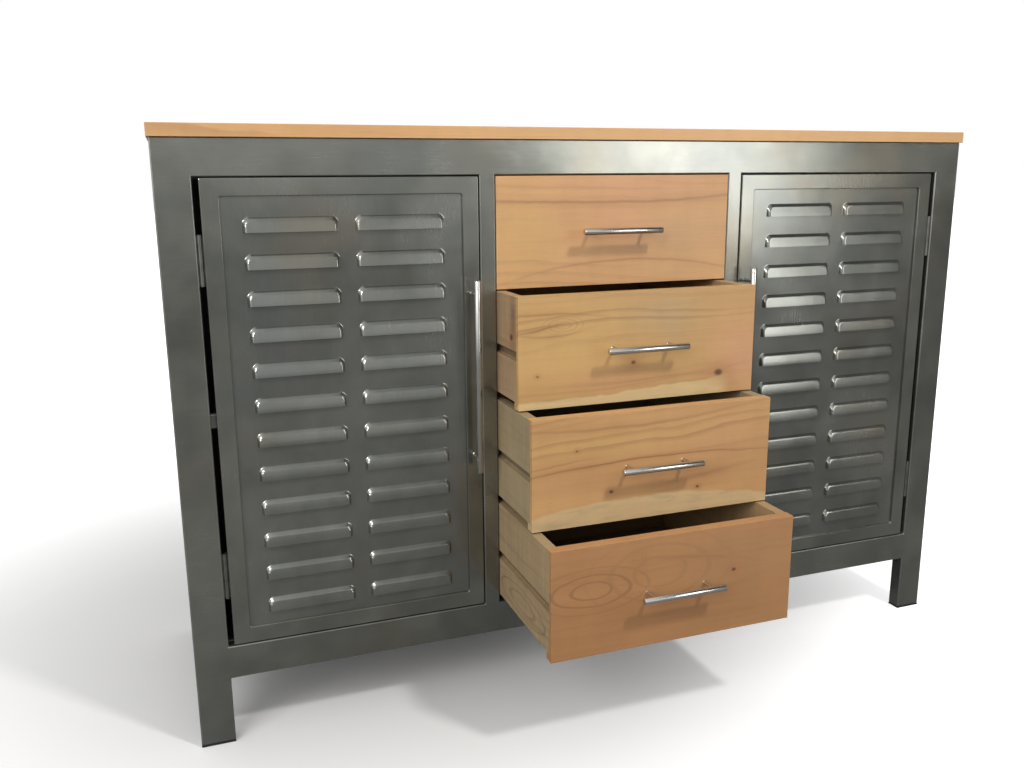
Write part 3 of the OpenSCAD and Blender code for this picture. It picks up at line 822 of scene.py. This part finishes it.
timberLook = {
    "run": "x", "tilt": 0.02, "cup": 0.5, "bend": 0.06, "rings": 75, "lines": 0.45, "pores": 0.1,
    "relief": 0.00014, "rough": 0.46, "coat": 0.12,
    "light": (0.66, 0.39, 0.19, 1), "deep": (0.52, 0.27, 0.115, 1),
    "line": (0.21, 0.095, 0.04, 1), "knot": (0.085, 0.03, 0.014, 1), "second": (0.6, 0.36, 0.18, 1),
    "red": (0.40, 0.17, 0.07, 1),
}
rosy, honey, dusk = (0.66, 0.33, 0.19, 1), (0.64, 0.40, 0.145, 1), (0.46, 0.325, 0.17, 1)
frontLooks = {
    1: {"seed": (2.3, 0.4, 7.1), "tilt": 0.03, "bend": 0.05,
        "light": (0.67, 0.385, 0.170, 1), "deep": (0.58, 0.31, 0.134, 1),
        "veins": [
            {"at": (0.0, 0.044), "slope": 0.012, "arch": 0.16, "wide": 0.0021, "reach": 0.5, "dark": 0.46},
            {"at": (0.035, -0.046), "slope": 0.0, "arch": -0.6, "wide": 0.0016, "reach": 0.19, "dark": 0.42},
            {"at": (-0.1, 0.067), "slope": -0.02, "arch": 0.05, "wide": 0.0026, "reach": 0.2, "dark": 0.2}],
        "patches": [(0.05, 0.07, 0.17, 0.014, 0.45, rosy), (-0.16, -0.01, 0.06, 0.07, 0.6, honey),
                    (0.02, 0.015, 0.06, 0.03, 0.4, rosy), (0.13, 0.0, 0.07, 0.05, 0.4, dusk)]},
    2: {"seed": (5.1, 3.3, 1.6), "tilt": -0.03, "bend": 0.075,
        "light": (0.64, 0.395, 0.152, 1), "deep": (0.55, 0.32, 0.122, 1),
        "veins": [
            {"at": (-0.16, 0.057), "slope": -0.02, "arch": -0.7, "wide": 0.0017, "reach": 0.075, "dark": 0.5},
            {"at": (-0.165, 0.034), "slope": 0.17, "arch": 1.5, "wide": 0.0014, "reach": 0.036, "dark": 0.7},
            {"at": (-0.15, 0.0225), "slope": 0.0, "arch": 2.2, "wide": 0.0015, "reach": 0.05, "dark": 0.42},
            {"at": (0.0, -0.052), "slope": 0.03, "arch": 0.1, "wide": 0.0028, "reach": 0.13, "dark": 0.26}],
        "ovals": [(-0.131, 0.040, 0.012, 0.005, 0.3)],
        "knots": [(0.139, -0.0515, 0.0055), (-0.013, -0.0245, 0.0034), (-0.172, -0.035, 0.0013)],
        "patches": [(0.045, 0.05, 0.06, 0.035, 0.65, dusk), (0.056, 0.022, 0.02, 0.016, 0.4, dusk),
                    (0.18, -0.02, 0.05, 0.07, 0.6, rosy), (-0.13, 0.0, 0.09, 0.07, 0.6, honey),
                    (-0.06, -0.05, 0.08, 0.02, 0.4, rosy)],
        "sap": {"from": 0.0, "edge": -0.0685, "slope": 0.05, "arch": 0.1, "soft": 0.0022,
                "stop": (0.135, 0.165), "much": 0.35,
                "colour": (0.70, 0.52, 0.26, 1), "fleck": (0.60, 0.40, 0.18, 1)}},
    3: {"seed": (8.4, 1.2, 3.9), "tilt": -0.07, "bend": 0.06, "lines": 0.4,
        "light": (0.65, 0.375, 0.155, 1), "deep": (0.53, 0.285, 0.113, 1),
        "veins": [
            {"at": (-0.03, 0.062), "slope": 0.03, "arch": 0.3, "wide": 0.0024, "reach": 0.22, "dark": 0.36},
            {"at": (-0.04, 0.0095), "slope": 0.03, "arch": -0.25, "wide": 0.0015, "reach": 0.26,
             "dark": 0.66},
            {"at": (-0.17, 0.012), "slope": 0.1, "arch": 0.0, "wide": 0.0013, "reach": 0.045, "dark": 0.4},
            {"at": (0.09, -0.028), "slope": 0.12, "arch": 0.5, "wide": 0.0045, "reach": 0.07, "dark": 0.34}],
        "knots": [(-0.074, -0.037, 0.0028), (0.075, -0.0465, 0.002), (-0.131, 0.0326, 0.0014)],
        "patches": [(0.0, -0.02, 0.22, 0.02, 0.5, (0.46, 0.235, 0.10, 1)),
                    (-0.05, 0.04, 0.2, 0.02, 0.5, honey), (0.12, 0.03, 0.08, 0.03, 0.3, rosy)],
        "sap": {"from": -0.03, "edge": -0.051, "slope": 0.0, "arch": -0.38, "soft": 0.0018,
                "stop": (0.3, 0.4), "much": 0.5,
                "colour": (0.64, 0.455, 0.235, 1), "fleck": (0.42, 0.345, 0.20, 1)}},
    4: {"seed": (1.7, 6.6, 5.2), "tilt": 0.03, "bend": 0.08, "lines": 0.15,
        "light": (0.50, 0.26, 0.108, 1), "deep": (0.42, 0.205, 0.082, 1),
        "veins": [
            {"at": (0.02, 0.046), "slope": -0.14, "arch": -0.4, "wide": 0.003, "reach": 0.09, "dark": 0.26},
            {"at": (0.03, -0.02), "slope": 0.1, "arch": 0.5, "wide": 0.004, "reach": 0.1, "dark": 0.2}],
        "ovals": [(-0.1385, 0.0166, 0.0345, 0.0135, 0.42), (-0.064, 0.056, 0.006, 0.005, 0.3),
                  (-0.03, 0.03, 0.045, 0.024, 0.16)],
        "knots": [(0.0986, 0.0133, 0.003)],
        "patches": [(0.1, 0.03, 0.1, 0.05, 0.4, (0.36, 0.2, 0.095, 1))]},
}
boxLooks = {
    1: {"light": (0.50, 0.35, 0.18, 1), "deep": (0.38, 0.25, 0.125, 1)},
    2: {"light": (0.56, 0.355, 0.19, 1), "deep": (0.43, 0.265, 0.138, 1),
        "knots": [(0.02, 0.022, 0.005)],
        "patches": [(0.012, 0.045, 0.012, 0.045, 0.75, (0.17, 0.095, 0.06, 1))]},
    3: {"light": (0.50, 0.395, 0.22, 1), "deep": (0.35, 0.275, 0.152, 1),
        "patches": [(0.03, 0.03, 0.03, 0.05, 0.4, (0.22, 0.20, 0.14, 1))]},
    4: {"light": (0.56, 0.37, 0.18, 1), "deep": (0.41, 0.26, 0.122, 1),
        "ovals": [(0.11, -0.045, 0.05, 0.012, 0.5)]},
}
boxLook = {"side": 16 * mm, "groove": 8 * mm, "grooveLow": 63.5 * mm, "grooveHigh": 77.5 * mm,
           "rounding": 0.7 * mm, "seat": 0.1 * mm, "bottomLift": 8 * mm, "bottomThick": 6 * mm,
           "tongue": 5 * mm, "frontRound": {1: 0.8 * mm, 2: 1.0 * mm, 3: 1.3 * mm, 4: 2.2 * mm}}


def makeDrawer(number):
    body = f"drawer_{number}"
    low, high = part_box(body + "_front")
    middle = (low + high) / 2
    finish = timberFinish(f"drawer{number}FrontTimber", {
        **timberLook, **frontLooks[number], "middle": (middle.x, low.y, middle.z)})
    boxLow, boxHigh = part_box(body + "_box")
    inLow, inHigh = boxLow.x + boxLook["side"], boxHigh.x - boxLook["side"]
    slabs = [(low, Vector((high.x, boxLow.y, high.z))),  # the face, then the rebated back of the front
             (Vector((inLow, boxLow.y, low.z)), Vector((inHigh, high.y, high.z))),
             (Vector((low.x, boxLow.y, low.z)), Vector((high.x, high.y, boxLow.z))),
             (Vector((low.x, boxLow.y, boxHigh.z)), high)]
    front = pieceFrom(skinOf(slabs), f"drawer{number}Front", [finish])
    roundEdges(front, boxLook["frontRound"][number])
    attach(front, body)
    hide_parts(body + "_front")

    look = boxLook
    z0, z1 = boxLow.z, boxHigh.z
    low1, high1 = z0 + look["grooveLow"], z0 + look["grooveHigh"]
    finish = timberFinish(f"drawer{number}BoxTimber", {
        **timberLook, **boxLooks[number], "run": "y", "middle": (0, middle.y, middle.z), "toned": True,
        # the groove entry places the painted shade in the grooves and down inside the box
        "groove": (low1 - middle.z, high1 - middle.z, boxHigh.x, z1 - middle.z),
        "seed": (number * 2.1, 3.3, 0.7), "rings": 60, "rough": 0.62, "coat": 0.0, "lines": 0.5,
        "relief": 0.0003, "saw": 170, "second": (0.36, 0.27, 0.155, 1), "line": (0.16, 0.10, 0.06, 1)})
    work = bmesh.new()
    tones = []
    slot0 = z0 + look["bottomLift"] - look["seat"]
    slot1 = slot0 + look["bottomThick"] + 2 * look["seat"]
    slotIn = look["side"] - look["tongue"] - look["seat"]
    for sign, tone in ((-1, 0.15 + 0.17 * number), (1, 0.72 - 0.11 * number)):
        outline = [(0, z0), (look["side"], z0), (look["side"], slot0), (slotIn, slot0), (slotIn, slot1),
                   (look["side"], slot1), (look["side"], z1), (0, z1), (0, high1), (look["groove"], high1),
                   (look["groove"], low1), (0, low1)]
        edge = boxLow.x if sign < 0 else boxHigh.x
        addProfile(work, [(edge - sign * x, z) for x, z in outline], boxLow.y, boxHigh.y)
        tones += [tone] * (2 * len(outline))
    backLow = Vector((boxLow.x + look["side"] + look["seat"], boxHigh.y - look["side"], slot1))
    backHigh = Vector((boxHigh.x - look["side"] - look["seat"], boxHigh.y, z1))
    addBlock(work, backLow, backHigh)
    tones += [0.45] * 8
    outward(work)
    box = pieceFrom(work, f"drawer{number}Box", [finish])
    setTone(box, tones)
    roundEdges(box, look["rounding"], 2)
    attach(box, body)
    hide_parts(body + "_box")


for number in range(1, 5):
    makeDrawer(number)
print("drawers made")


# The top board is glued from planks, which meet at these shares of its depth
topLook = {"joints": (0, 0.19, 0.35, 0.53, 0.68, 0.86, 1.0), "rounding": 0.8 * mm}
topTimber = timberFinish("topTimber", {
    **timberLook, "run": "flat", "middle": (0, 0, 0.9), "toned": True, "seed": (3.1, 2.2, 8.0), "rings": 30,
    "light": (0.78, 0.48, 0.22, 1), "deep": (0.66, 0.37, 0.155, 1), "second": (0.70, 0.43, 0.20, 1)})


def makeTop():
    low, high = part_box("top_board")
    lines = [low.y + (high.y - low.y) * share for share in topLook["joints"]]
    work = bmesh.new()
    tones = []
    for i, (y0, y1) in enumerate(zip(lines, lines[1:])):
        addBlock(work, (low.x, y0, low.z), (high.x, y1, high.z))
        tones += [(0.12 + i * 0.37) % 1.0] * 8
    outward(work)
    top = pieceFrom(work, "topPlanks", [topTimber])
    setTone(top, tones)
    roundEdges(top, topLook["rounding"], 2)
    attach(top, "carcass")
    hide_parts("top_board")


makeTop()
print("top made")


def turnedPattern(name, outline, sides):
    work = bmesh.new()
    addTurned(work, outline, (0, 0, 0), "z", sides)
    return hiddenPattern(work, name)


# Screws, made once and set on points, one host for each body
screwLook = {"shank": 2.0 * mm, "sides": 16}


def screwPattern(name, length, radius, rise):
    # a button head with a socket; the head's seat is at the origin and the shank points down
    shank, hole = screwLook["shank"], radius * 0.36
    return turnedPattern(name, [
        (-length, 0), (-length, shank * 0.6), (-length + shank * 0.5, shank), (0, shank), (0, radius),
        (rise * 0.25, radius), (rise * 0.65, radius * 0.86), (rise * 0.92, radius * 0.6),
        (rise, radius * 0.44), (rise, hole), (rise * 0.45, hole * 0.9), (rise * 0.4, 0)], screwLook["sides"])


screwTree = scatterTree("screwSpread", zincScrew)


def makeScrews(body, axis, gap):
    node = body + "_screws"
    low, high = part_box(node)
    wide = (high[2 - axis] - low[2 - axis]) / 2
    seat = high.y - wide * 0.6
    pattern = screwPattern(node + "Pattern", seat - low.y, wide, high.y - seat)
    spots = []
    for sign in (-1, 1):
        spot = (low + high) / 2
        spot.y = seat
        spot[axis] += sign * gap / 2
        spots.append(spot)
    piece = scatter(pieceName(node), spots, [(0, 1, 0)] * len(spots), pattern, screwTree)
    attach(piece, body)
    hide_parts(node)


for number in range(1, 5):
    makeScrews(f"drawer_{number}", 0, barLook["drawerGap"])
for side in ("left", "right"):
    makeScrews(side + "_door", 2, barLook["doorGap"])
print("screws made")


# Plastic caps under the legs: a rounded flange with a ribbed plug inside the tube
capLook = {"flange": 3 * mm, "wall": 2.2 * mm, "rib": 0.5 * mm, "ribHigh": 1.2 * mm, "ribStep": 4 * mm,
           "ribs": 3, "sunk": 0.2 * mm, "rounding": 0.45 * mm}


def makeCaps():
    capLow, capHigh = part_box("foot_caps")
    top = capLow.z + capLook["flange"]
    wall = capLook["wall"]
    layers = [(0, capLow.z, top), (wall, top - capLook["sunk"], capHigh.z)]
    for i in range(capLook["ribs"]):
        z = top + (i + 0.6) * capLook["ribStep"]
        layers.append((wall - capLook["rib"], z, z + capLook["ribHigh"]))
    work = bmesh.new()
    for leg in frameTubes[:4]:
        low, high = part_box(leg)
        for inset, z0, z1 in layers:
            addBlock(work, (low.x + inset, low.y + inset, z0), (high.x - inset, high.y - inset, z1))
    outward(work)
    caps = pieceFrom(work, "footCaps", [blackPlastic])
    roundEdges(caps, capLook["rounding"], 2)
    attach(caps, "carcass")
    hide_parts("foot_caps")


# Magnetic catches: a moulded body with two pole plates and ears for screws
catchLook = {"wide": 14 * mm, "ear": 3 * mm, "earThick": 4 * mm, "plate": 1.6 * mm, "plateDeep": 6 * mm,
             "platesAt": (0.28, 0.72), "back": 1.2 * mm, "rounding": 0.6 * mm, "plateRounding": 0.25 * mm}


def makeCatches():
    low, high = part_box("door_catches")
    bodies, plates = bmesh.new(), bmesh.new()
    ear, half, deep = catchLook["ear"], catchLook["plate"] / 2, catchLook["plateDeep"]
    for sign in (-1, 1):
        edge = sign * high.x
        x0, x1 = sorted((edge, edge - sign * catchLook["wide"]))
        addBlock(bodies, (x0, low.y + catchLook["back"], low.z + ear), (x1, high.y, high.z - ear))
        addBlock(bodies, (x0, high.y - catchLook["earThick"], low.z), (x1, high.y, high.z))
        for share in catchLook["platesAt"]:
            x = x0 + (x1 - x0) * share
            addBlock(plates, (x - half, low.y, low.z + deep), (x + half, low.y + deep, high.z - deep))
    for work, name, finish, slot, rounding in (
            (bodies, "catchBodies", blackPlastic, "black_plastic", catchLook["rounding"]),
            (plates, "catchPlates", zincScrew, "zinc", catchLook["plateRounding"])):
        outward(work)
        piece = pieceFrom(work, name, [finish])
        roundEdges(piece, rounding, 2)
        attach(piece, "carcass")
        if slot == "black_plastic":
            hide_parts("door_catches")


makeCaps()
makeCatches()
print("caps and catches made")


# Beads of weld in the corners behind the front frame, and spot welds on the sheets
weldLook = {"bead": 2.4 * mm, "step": 3.0 * mm, "end": 3 * mm, "spot": 3.0 * mm, "spotStep": 62 * mm,
            "spotRise": 0.22 * mm, "edge": 14 * mm, "sideEdge": 12 * mm, "short": 60 * mm,
            "sideEnd": 20 * mm, "backEnd": 30 * mm}


def beadPattern():
    r = weldLook["bead"]
    return turnedPattern("beadPattern", [
        (-r * 0.4, 0), (-r * 0.4, r), (0, r), (r * 0.3, r * 0.82), (r * 0.5, r * 0.4), (r * 0.55, 0)], 10)


def spotPattern():
    r, h = weldLook["spot"], weldLook["spotRise"]
    return turnedPattern("spotPattern", [
        (-h, 0), (-h, r), (0, r), (h, r * 0.86), (h, r * 0.7), (h * 0.3, r * 0.5), (h * 0.2, 0)], 14)


def lineOf(start, end, step):
    count = max(2, round((Vector(end) - Vector(start)).length / step))
    return [Vector(start).lerp(Vector(end), i / (count - 1)) for i in range(count)]


def makeBeads():
    spots, facings = [], []
    step, end = weldLook["step"], weldLook["end"]
    for side in ("left", "right"):
        sign = -1 if side == "left" else 1
        low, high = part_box(f"front_{side}_leg")
        inner = high.x if side == "left" else low.x
        for rail in ("front_top_rail", "front_bottom_rail"):
            railLow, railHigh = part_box(rail)
            for y in (high.y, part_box(f"rear_{side}_leg")[0].y):
                way = 1 if y == high.y else -1
                made = lineOf((inner, y, railLow.z + end), (inner, y, railHigh.z - end), step)
                spots += made
                facings += [(-sign * 0.2, way, 0)] * len(made)
            z = railLow.z if rail == "front_top_rail" else railHigh.z
            made = lineOf((low.x + end, high.y, z), (high.x - end, high.y, z), step)
            spots += made
            facings += [(0, 1, 0)] * len(made)
    beads = scatter("weldBeads", spots, facings, beadPattern(), scatterTree("beadRun", weldSteel), 0.12)
    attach(beads, "carcass")


def makeSpotWelds():
    spots, facings = [], []
    step, edge, short = weldLook["spotStep"], weldLook["edge"], weldLook["short"]
    sideEdge, sideEnd, backEnd = weldLook["sideEdge"], weldLook["sideEnd"], weldLook["backEnd"]
    for node, sign in (("left_side_panel", -1), ("right_side_panel", 1)):
        low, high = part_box(node)
        x = low.x if sign < 0 else high.x
        for y in (low.y + sideEdge, high.y - sideEdge):
            spots += lineOf((x, y, low.z + sideEnd), (x, y, high.z - sideEnd), step)
        for z in (low.z + edge, high.z - edge):
            spots += lineOf((x, low.y + short, z), (x, high.y - short, z), step)
        facings += [(sign, 0, 0)] * (len(spots) - len(facings))
    low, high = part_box("back_panel")
    for z in (low.z + edge, high.z - edge):
        spots += lineOf((low.x + backEnd, high.y, z), (high.x - backEnd, high.y, z), step)
    for x in (low.x + edge, high.x - edge):
        spots += lineOf((x, high.y, low.z + short), (x, high.y, high.z - short), step)
    facings += [(0, 1, 0)] * (len(spots) - len(facings))
    dots = scatter("spotWelds", spots, facings, spotPattern(), scatterTree("spotSpread", weldSteel), 0.08)
    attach(dots, "carcass")


makeBeads()
makeSpotWelds()
print("welds made")


def dress(node, finish):
    # a finish for a CAD piece that stays
    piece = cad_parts[node]
    for holder in piece.material_slots:
        holder.material = finish
    if not piece.material_slots:
        piece.data.materials.append(finish)


plainTimber = timberFinish("runnerTimber", {
    **timberLook, "run": "y", "middle": (0, 0, 0.5), "seed": (4, 4, 4), "rough": 0.6, "coat": 0.0,
    "light": (0.40, 0.28, 0.155, 1), "deep": (0.30, 0.20, 0.11, 1)})
plywood = timberFinish("plywood", {
    **timberLook, "run": "flat", "middle": (0, 0, 0), "seed": (7, 1, 2), "rough": 0.6, "coat": 0.0,
    "light": (0.30, 0.22, 0.125, 1), "deep": (0.22, 0.155, 0.085, 1)})
for node in ("left_side_panel", "right_side_panel", "back_panel", "floor_panel", "left_partition",
             "right_partition", "left_shelf", "right_shelf"):
    dress(node, sheetSteel)
dress("shelf_rails", frameSteel)
dress("top_brackets", sheetSteel)
dress("drawer_runners", plainTimber)
for node in ("hinge_frame_leaves", "hinge_pins", "left_door_leaves", "right_door_leaves"):
    dress(node, hingeMetal)
dress("top_board_screws", zincScrew)
for number in range(1, 5):
    dress(f"drawer_{number}_bottom", plywood)
print("carried pieces dressed")


viewLook = {"place": (-0.6659, -1.4291, 0.8393), "turn": (77.609, 0.449, -20.02), "lens": 32.523}


def makeCamera():
    data = bpy.data.cameras.new("camera")
    data.sensor_width = 36
    data.lens = viewLook["lens"]
    camera = bpy.data.objects.new("camera", data)
    camera.location = viewLook["place"]
    camera.rotation_euler = [math.radians(a) for a in viewLook["turn"]]
    scene.collection.objects.link(camera)
    scene.camera = camera


roomLook = {"lowFill": 0.22, "highFill": 0.50, "skirting": 0.25, "wall": 0.85, "rightWall": 0.2,
            "ceiling": 0.3, "leftCeiling": 1.0, "backWall": 0.55}


def makeFloor():
    # pale to the eye, duller grey in reflections and bounce light; the eye also sees a painted glow, none
    # near the cabinet and rising away from it
    material, shader, place = startFinish("floorPaint")
    tree = material.node_tree
    flat = stretch(place, (1, 1, 0))
    flat = stretch(flat, (1, 1, 1), (0.45, -0.25, 0))
    away = flat.add("ShaderNodeVectorMath", {"operation": "LENGTH"}, {0: flat}, out=1)
    mottle = noise(place, 2.5, 3, 0.5)
    plug(shader, {"Base Color": mixColour(mottle, grey(0.80), grey(0.84)), "Roughness": 0.85,
                  # painted glow: emission grows with distance from a spot left of and behind the middle, so
                  # the floor is painted brighter to the right and far off
                  "Emission Color": mixColour(ease(away, 0.25, 1.7), grey(0.0), grey(0.95)),
                  "Emission Strength": 1.0, "Specular IOR Level": 0.1})
    dull = tree.nodes.new("ShaderNodeBsdfDiffuse")
    dull.inputs["Color"].default_value = grey(0.235)
    rays = place.add("ShaderNodeLightPath", out=0)
    mix = tree.nodes.new("ShaderNodeMixShader")
    tree.links.new(rays.socket, mix.inputs[0])
    tree.links.new(dull.outputs[0], mix.inputs[1])
    tree.links.new(shader.outputs[0], mix.inputs[2])
    output = next(n for n in tree.nodes if n.type == "OUTPUT_MATERIAL")
    tree.links.new(mix.outputs[0], output.inputs[0])
    work = bmesh.new()
    bmesh.ops.create_grid(work, x_segments=8, y_segments=8, size=30)
    floor = pieceFrom(work, "floor", [material])


def makeRoom():
    # the eye sees white, matt surfaces a soft fill, and glossy ones a grey room, darker up on the right
    world = bpy.data.worlds.new("room")
    scene.world = world
    world.use_nodes = True
    tree = world.node_tree
    tree.nodes.clear()
    place = Wire(tree).add("ShaderNodeTexCoord", out=0)
    side, back, height = [place.add("ShaderNodeSeparateXYZ", None, {0: place}, out=i) for i in range(3)]
    fill = ease(height, -0.4, 0.5, roomLook["lowFill"], roomLook["highFill"])
    fill = fill * ease(side, -0.3, 0.9, 1.1, 0.85)
    walls = ease(height, -0.16, 0.06, roomLook["skirting"], roomLook["wall"])
    walls = walls * ease(side, 0.0, 0.7, 1.0, roomLook["rightWall"]) * ease(side, -0.8, -0.1, 1.4, 1.0)
    overhead = ease(side, -0.1, 0.5, roomLook["leftCeiling"], roomLook["ceiling"])
    walls = walls * (1 - ease(height, 0.08, 0.5) * (1 - overhead))
    walls = walls + ease(back, 0.0, 0.5, 0.0, roomLook["backWall"]) * ease(height, -0.3, 0.1)
    fill = fill * ease(back, 0.1, 0.8, 1.0, 1.25)
    eye = place.add("ShaderNodeLightPath", out=0)
    matt = place.add("ShaderNodeLightPath", out=2)
    light = walls * (1 - matt) + fill * matt
    light = light * (1 - eye) + eye
    sky = place.add("ShaderNodeBackground", None, {0: light, 1: 1.0})
    output = tree.nodes.new("ShaderNodeOutputWorld")
    tree.links.new(sky.socket, output.inputs[0])


def addLamp(name, place, aim, size, power, colour, gloss=True, matt=True):
    data = bpy.data.lights.new(name, "AREA")
    data.shape = "RECTANGLE"
    data.size, data.size_y = size
    data.energy = power
    data.color = colour
    lamp = bpy.data.objects.new(name, data)
    lamp.location = place
    lamp.visible_glossy = gloss
    lamp.visible_diffuse = matt
    lamp.rotation_euler = (Vector(aim) - Vector(place)).to_track_quat("-Z", "Y").to_euler()
    scene.collection.objects.link(lamp)


makeCamera()
makeFloor()
makeRoom()
warmWhite, cleanWhite, coolWhite = (1.0, 0.98, 0.95), (1.0, 0.99, 0.97), (1.0, 0.98, 0.96)
addLamp("highLamp", (0.95, -1.95, 2.9), (-0.1, 0.1, 0.4), (0.3, 0.3), 42, warmWhite, gloss=False)
addLamp("windowLamp", (1.53, -2.55, 1.05), (0.2, -0.09, 0.9), (1.04, 1.0), 15.9, cleanWhite, matt=False)
addLamp("upperLamp", (1.80, -2.6, 1.95), (0.3, -0.09, 0.9), (1.0, 0.6), 9, cleanWhite, matt=False)
leftPlace, leftAim = (-2.5, -2.1, 2.0), (-0.3, 0.0, 0.6)
addLamp("leftLamp", leftPlace, leftAim, (0.6, 0.6), 60, coolWhite, matt=False)
addLamp("softLamp", leftPlace, leftAim, (2.0, 2.0), 60, coolWhite, gloss=False)
print("camera, floor and lamps placed")
